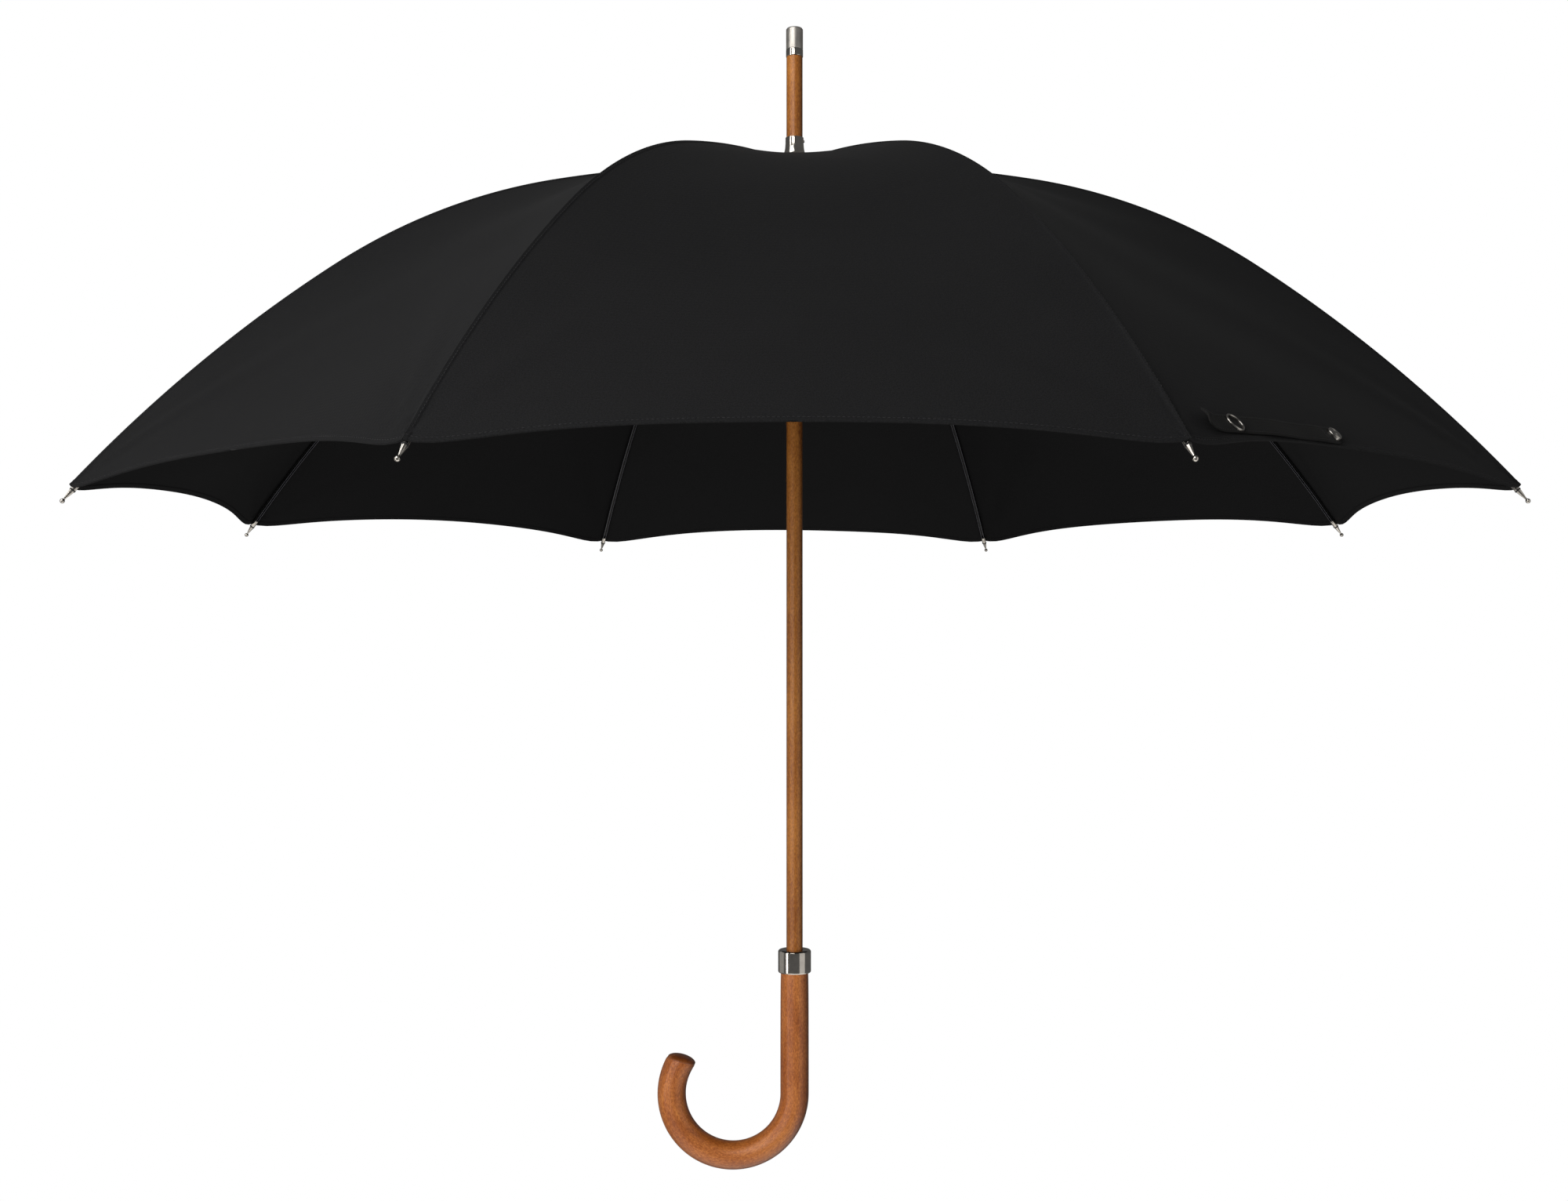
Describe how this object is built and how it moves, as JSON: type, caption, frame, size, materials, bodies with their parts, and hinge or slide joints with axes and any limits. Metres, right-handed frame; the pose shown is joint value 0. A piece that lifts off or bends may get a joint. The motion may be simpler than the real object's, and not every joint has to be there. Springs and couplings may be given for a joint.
{
  "type": "stick umbrella",
  "caption": "Open stick umbrella: wooden crook handle and shaft, ribbed steel frame and a black canopy of eight gores that folds as the runner slides down.",
  "frame": {"origin": "on the shaft axis, at the middle of the straight grip of the handle", "axes": "+Z along the shaft towards the ferrule; the crook of the handle points to -X; +Y is the side of the spring catches"},
  "size_m": [1.0094, 1.0094, 0.915],
  "materials": {
    "shaft_wood": "clear varnished, honey brown",
    "handle_wood": "gloss varnished, reddish brown",
    "dark_wood": "varnished end grain, darker than the handle",
    "nickel": "polished nickel plate",
    "satin_nickel": "satin nickel plate",
    "notch_resin": "black moulded resin",
    "runner_steel": "black enamelled steel",
    "spring_steel": "plain spring steel",
    "black_steel": "black enamelled steel",
    "black_fabric": "fine plain-weave polyester, matte black"
  },
  "bodies": {
    "root": {"shaft": "shaft_wood", "spring_pins": "spring_steel", "handle": "handle_wood", "handle_end": "dark_wood", "handle_collar": "nickel", "ferrule_cap": "satin_nickel", "ferrule_band": "nickel", "open_cap": "nickel", "cap_nail": "nickel", "notch": "notch_resin", "notch_wire": "spring_steel"},
    "runner": {"runner": "runner_steel", "runner_wire": "spring_steel"},
    "rib_1": {"rib_1": "black_steel", "tip_1": "nickel"},
    "stretcher_1": {"stretcher_1": "black_steel"},
    "panel_1a": {"gore_1a": "black_fabric"},
    "panel_8b": {"gore_8b": "black_fabric"},
    "rib_2": {"rib_2": "black_steel", "tip_2": "nickel"},
    "stretcher_2": {"stretcher_2": "black_steel"},
    "panel_2a": {"gore_2a": "black_fabric"},
    "panel_1b": {"gore_1b": "black_fabric"},
    "rib_3": {"rib_3": "black_steel", "tip_3": "nickel"},
    "stretcher_3": {"stretcher_3": "black_steel"},
    "panel_3a": {"gore_3a": "black_fabric"},
    "panel_2b": {"gore_2b": "black_fabric"},
    "rib_4": {"rib_4": "black_steel", "tip_4": "nickel"},
    "stretcher_4": {"stretcher_4": "black_steel"},
    "panel_4a": {"gore_4a": "black_fabric"},
    "panel_3b": {"gore_3b": "black_fabric"},
    "rib_5": {"rib_5": "black_steel", "tip_5": "nickel"},
    "stretcher_5": {"stretcher_5": "black_steel"},
    "panel_5a": {"gore_5a": "black_fabric"},
    "panel_4b": {"gore_4b": "black_fabric"},
    "rib_6": {"rib_6": "black_steel", "tip_6": "nickel"},
    "stretcher_6": {"stretcher_6": "black_steel"},
    "panel_6a": {"gore_6a": "black_fabric"},
    "panel_5b": {"gore_5b": "black_fabric"},
    "rib_7": {"rib_7": "black_steel", "tip_7": "nickel"},
    "stretcher_7": {"stretcher_7": "black_steel"},
    "panel_7a": {"gore_7a": "black_fabric", "closing_strap": "black_fabric", "strap_ring": "nickel", "strap_button": "nickel"},
    "panel_6b": {"gore_6b": "black_fabric"},
    "rib_8": {"rib_8": "black_steel", "tip_8": "nickel"},
    "stretcher_8": {"stretcher_8": "black_steel"},
    "panel_8a": {"gore_8a": "black_fabric"},
    "panel_7b": {"gore_7b": "black_fabric"},
    "top_catch": {"top_spring": "spring_steel"},
    "hand_catch": {"hand_spring": "spring_steel"}
  },
  "joints": [
    {"name": "runner_slide", "type": "slide", "parent": "root", "child": "runner", "axis": [0, 0, -1], "range_m": [0, 0.37361]},
    {"name": "rib_1_fold", "type": "hinge", "parent": "root", "child": "rib_1", "pos_m": [0.00785, 0.00325, 0.6924], "axis": [-0.3827, 0.9239, 0], "range_deg": [0, 61.02]},
    {"name": "stretcher_1_turn", "type": "hinge", "parent": "rib_1", "child": "stretcher_1", "pos_m": [0.25419, 0.10529, 0.6338], "axis": [0.3827, -0.9239, 0], "range_deg": [0, 114.77]},
    {"name": "panel_1a_furl", "type": "hinge", "parent": "rib_1", "child": "panel_1a", "pos_m": [0.00721, 0.00481, 0.6924], "axis": [-0.4002, -0.8229, -0.4033], "range_deg": [0, 23.51], "deforming": ["gore_1a"]},
    {"name": "panel_8b_furl", "type": "hinge", "parent": "rib_1", "child": "panel_8b", "pos_m": [0.0085, 0.00169, 0.6924], "axis": [0.8649, -0.2989, 0.4033], "range_deg": [0, 23.51], "deforming": ["gore_8b"]},
    {"name": "rib_2_fold", "type": "hinge", "parent": "root", "child": "rib_2", "pos_m": [0.00325, 0.00785, 0.6924], "axis": [-0.9239, 0.3827, 0], "range_deg": [0, 61.02]},
    {"name": "stretcher_2_turn", "type": "hinge", "parent": "rib_2", "child": "stretcher_2", "pos_m": [0.10529, 0.25419, 0.6338], "axis": [0.9239, -0.3827, 0], "range_deg": [0, 114.77]},
    {"name": "panel_2a_furl", "type": "hinge", "parent": "rib_2", "child": "panel_2a", "pos_m": [0.00169, 0.0085, 0.6924], "axis": [0.2989, -0.8649, -0.4033], "range_deg": [0, 23.51], "deforming": ["gore_2a"]},
    {"name": "panel_1b_furl", "type": "hinge", "parent": "rib_2", "child": "panel_1b", "pos_m": [0.00481, 0.00721, 0.6924], "axis": [0.8229, 0.4002, 0.4033], "range_deg": [0, 23.51], "deforming": ["gore_1b"]},
    {"name": "rib_3_fold", "type": "hinge", "parent": "root", "child": "rib_3", "pos_m": [-0.00325, 0.00785, 0.6924], "axis": [-0.9239, -0.3827, 0], "range_deg": [0, 61.02]},
    {"name": "stretcher_3_turn", "type": "hinge", "parent": "rib_3", "child": "stretcher_3", "pos_m": [-0.10529, 0.25419, 0.6338], "axis": [0.9239, 0.3827, 0], "range_deg": [0, 114.77]},
    {"name": "panel_3a_furl", "type": "hinge", "parent": "rib_3", "child": "panel_3a", "pos_m": [-0.00481, 0.00721, 0.6924], "axis": [0.8229, -0.4002, -0.4033], "range_deg": [0, 23.51], "deforming": ["gore_3a"]},
    {"name": "panel_2b_furl", "type": "hinge", "parent": "rib_3", "child": "panel_2b", "pos_m": [-0.00169, 0.0085, 0.6924], "axis": [0.2989, 0.8649, 0.4033], "range_deg": [0, 23.51], "deforming": ["gore_2b"]},
    {"name": "rib_4_fold", "type": "hinge", "parent": "root", "child": "rib_4", "pos_m": [-0.00785, 0.00325, 0.6924], "axis": [-0.3827, -0.9239, 0], "range_deg": [0, 61.02]},
    {"name": "stretcher_4_turn", "type": "hinge", "parent": "rib_4", "child": "stretcher_4", "pos_m": [-0.25419, 0.10529, 0.6338], "axis": [0.3827, 0.9239, 0], "range_deg": [0, 114.77]},
    {"name": "panel_4a_furl", "type": "hinge", "parent": "rib_4", "child": "panel_4a", "pos_m": [-0.0085, 0.00169, 0.6924], "axis": [0.8649, 0.2989, -0.4033], "range_deg": [0, 23.51], "deforming": ["gore_4a"]},
    {"name": "panel_3b_furl", "type": "hinge", "parent": "rib_4", "child": "panel_3b", "pos_m": [-0.00721, 0.00481, 0.6924], "axis": [-0.4002, 0.8229, 0.4033], "range_deg": [0, 23.51], "deforming": ["gore_3b"]},
    {"name": "rib_5_fold", "type": "hinge", "parent": "root", "child": "rib_5", "pos_m": [-0.00785, -0.00325, 0.6924], "axis": [0.3827, -0.9239, 0], "range_deg": [0, 61.02]},
    {"name": "stretcher_5_turn", "type": "hinge", "parent": "rib_5", "child": "stretcher_5", "pos_m": [-0.25419, -0.10529, 0.6338], "axis": [-0.3827, 0.9239, 0], "range_deg": [0, 114.77]},
    {"name": "panel_5a_furl", "type": "hinge", "parent": "rib_5", "child": "panel_5a", "pos_m": [-0.00721, -0.00481, 0.6924], "axis": [0.4002, 0.8229, -0.4033], "range_deg": [0, 23.51], "deforming": ["gore_5a"]},
    {"name": "panel_4b_furl", "type": "hinge", "parent": "rib_5", "child": "panel_4b", "pos_m": [-0.0085, -0.00169, 0.6924], "axis": [-0.8649, 0.2989, 0.4033], "range_deg": [0, 23.51], "deforming": ["gore_4b"]},
    {"name": "rib_6_fold", "type": "hinge", "parent": "root", "child": "rib_6", "pos_m": [-0.00325, -0.00785, 0.6924], "axis": [0.9239, -0.3827, 0], "range_deg": [0, 61.02]},
    {"name": "stretcher_6_turn", "type": "hinge", "parent": "rib_6", "child": "stretcher_6", "pos_m": [-0.10529, -0.25419, 0.6338], "axis": [-0.9239, 0.3827, 0], "range_deg": [0, 114.77]},
    {"name": "panel_6a_furl", "type": "hinge", "parent": "rib_6", "child": "panel_6a", "pos_m": [-0.00169, -0.0085, 0.6924], "axis": [-0.2989, 0.8649, -0.4033], "range_deg": [0, 23.51], "deforming": ["gore_6a"]},
    {"name": "panel_5b_furl", "type": "hinge", "parent": "rib_6", "child": "panel_5b", "pos_m": [-0.00481, -0.00721, 0.6924], "axis": [-0.8229, -0.4002, 0.4033], "range_deg": [0, 23.51], "deforming": ["gore_5b"]},
    {"name": "rib_7_fold", "type": "hinge", "parent": "root", "child": "rib_7", "pos_m": [0.00325, -0.00785, 0.6924], "axis": [0.9239, 0.3827, 0], "range_deg": [0, 61.02]},
    {"name": "stretcher_7_turn", "type": "hinge", "parent": "rib_7", "child": "stretcher_7", "pos_m": [0.10529, -0.25419, 0.6338], "axis": [-0.9239, -0.3827, 0], "range_deg": [0, 114.77]},
    {"name": "panel_7a_furl", "type": "hinge", "parent": "rib_7", "child": "panel_7a", "pos_m": [0.00481, -0.00721, 0.6924], "axis": [-0.8229, 0.4002, -0.4033], "range_deg": [0, 23.51], "deforming": ["gore_7a", "closing_strap", "strap_ring", "strap_button"]},
    {"name": "panel_6b_furl", "type": "hinge", "parent": "rib_7", "child": "panel_6b", "pos_m": [0.00169, -0.0085, 0.6924], "axis": [-0.2989, -0.8649, 0.4033], "range_deg": [0, 23.51], "deforming": ["gore_6b"]},
    {"name": "rib_8_fold", "type": "hinge", "parent": "root", "child": "rib_8", "pos_m": [0.00785, -0.00325, 0.6924], "axis": [0.3827, 0.9239, 0], "range_deg": [0, 61.02]},
    {"name": "stretcher_8_turn", "type": "hinge", "parent": "rib_8", "child": "stretcher_8", "pos_m": [0.25419, -0.10529, 0.6338], "axis": [-0.3827, -0.9239, 0], "range_deg": [0, 114.77]},
    {"name": "panel_8a_furl", "type": "hinge", "parent": "rib_8", "child": "panel_8a", "pos_m": [0.0085, -0.00169, 0.6924], "axis": [-0.8649, -0.2989, -0.4033], "range_deg": [0, 23.51], "deforming": ["gore_8a"]},
    {"name": "panel_7b_furl", "type": "hinge", "parent": "rib_8", "child": "panel_7b", "pos_m": [0.00721, -0.00481, 0.6924], "axis": [0.4002, -0.8229, 0.4033], "range_deg": [0, 23.51], "deforming": ["gore_7b"]},
    {"name": "top_catch_press", "type": "hinge", "parent": "root", "child": "top_catch", "pos_m": [0, 0.0026, 0.4667], "axis": [1, 0, 0], "range_deg": [0, 5.7], "stiffness_Nm_per_rad": 0.5},
    {"name": "hand_catch_press", "type": "hinge", "parent": "root", "child": "hand_catch", "pos_m": [0, 0.0026, 0.1626], "axis": [-1, 0, 0], "range_deg": [0, 5.7], "stiffness_Nm_per_rad": 0.5}
  ],
  "couplings": [
    {"joint": "rib_1_fold", "follows": "runner_slide", "rad_per_m": 2.8496},
    {"joint": "stretcher_1_turn", "follows": "runner_slide", "rad_per_m": 5.3605},
    {"joint": "panel_1a_furl", "follows": "runner_slide", "rad_per_m": 1.0972},
    {"joint": "panel_8b_furl", "follows": "runner_slide", "rad_per_m": 1.0972},
    {"joint": "rib_2_fold", "follows": "runner_slide", "rad_per_m": 2.8496},
    {"joint": "stretcher_2_turn", "follows": "runner_slide", "rad_per_m": 5.3605},
    {"joint": "panel_2a_furl", "follows": "runner_slide", "rad_per_m": 1.0972},
    {"joint": "panel_1b_furl", "follows": "runner_slide", "rad_per_m": 1.0972},
    {"joint": "rib_3_fold", "follows": "runner_slide", "rad_per_m": 2.8496},
    {"joint": "stretcher_3_turn", "follows": "runner_slide", "rad_per_m": 5.3605},
    {"joint": "panel_3a_furl", "follows": "runner_slide", "rad_per_m": 1.0972},
    {"joint": "panel_2b_furl", "follows": "runner_slide", "rad_per_m": 1.0972},
    {"joint": "rib_4_fold", "follows": "runner_slide", "rad_per_m": 2.8496},
    {"joint": "stretcher_4_turn", "follows": "runner_slide", "rad_per_m": 5.3605},
    {"joint": "panel_4a_furl", "follows": "runner_slide", "rad_per_m": 1.0972},
    {"joint": "panel_3b_furl", "follows": "runner_slide", "rad_per_m": 1.0972},
    {"joint": "rib_5_fold", "follows": "runner_slide", "rad_per_m": 2.8496},
    {"joint": "stretcher_5_turn", "follows": "runner_slide", "rad_per_m": 5.3605},
    {"joint": "panel_5a_furl", "follows": "runner_slide", "rad_per_m": 1.0972},
    {"joint": "panel_4b_furl", "follows": "runner_slide", "rad_per_m": 1.0972},
    {"joint": "rib_6_fold", "follows": "runner_slide", "rad_per_m": 2.8496},
    {"joint": "stretcher_6_turn", "follows": "runner_slide", "rad_per_m": 5.3605},
    {"joint": "panel_6a_furl", "follows": "runner_slide", "rad_per_m": 1.0972},
    {"joint": "panel_5b_furl", "follows": "runner_slide", "rad_per_m": 1.0972},
    {"joint": "rib_7_fold", "follows": "runner_slide", "rad_per_m": 2.8496},
    {"joint": "stretcher_7_turn", "follows": "runner_slide", "rad_per_m": 5.3605},
    {"joint": "panel_7a_furl", "follows": "runner_slide", "rad_per_m": 1.0972},
    {"joint": "panel_6b_furl", "follows": "runner_slide", "rad_per_m": 1.0972},
    {"joint": "rib_8_fold", "follows": "runner_slide", "rad_per_m": 2.8496},
    {"joint": "stretcher_8_turn", "follows": "runner_slide", "rad_per_m": 5.3605},
    {"joint": "panel_8a_furl", "follows": "runner_slide", "rad_per_m": 1.0972},
    {"joint": "panel_7b_furl", "follows": "runner_slide", "rad_per_m": 1.0972}
  ]
}
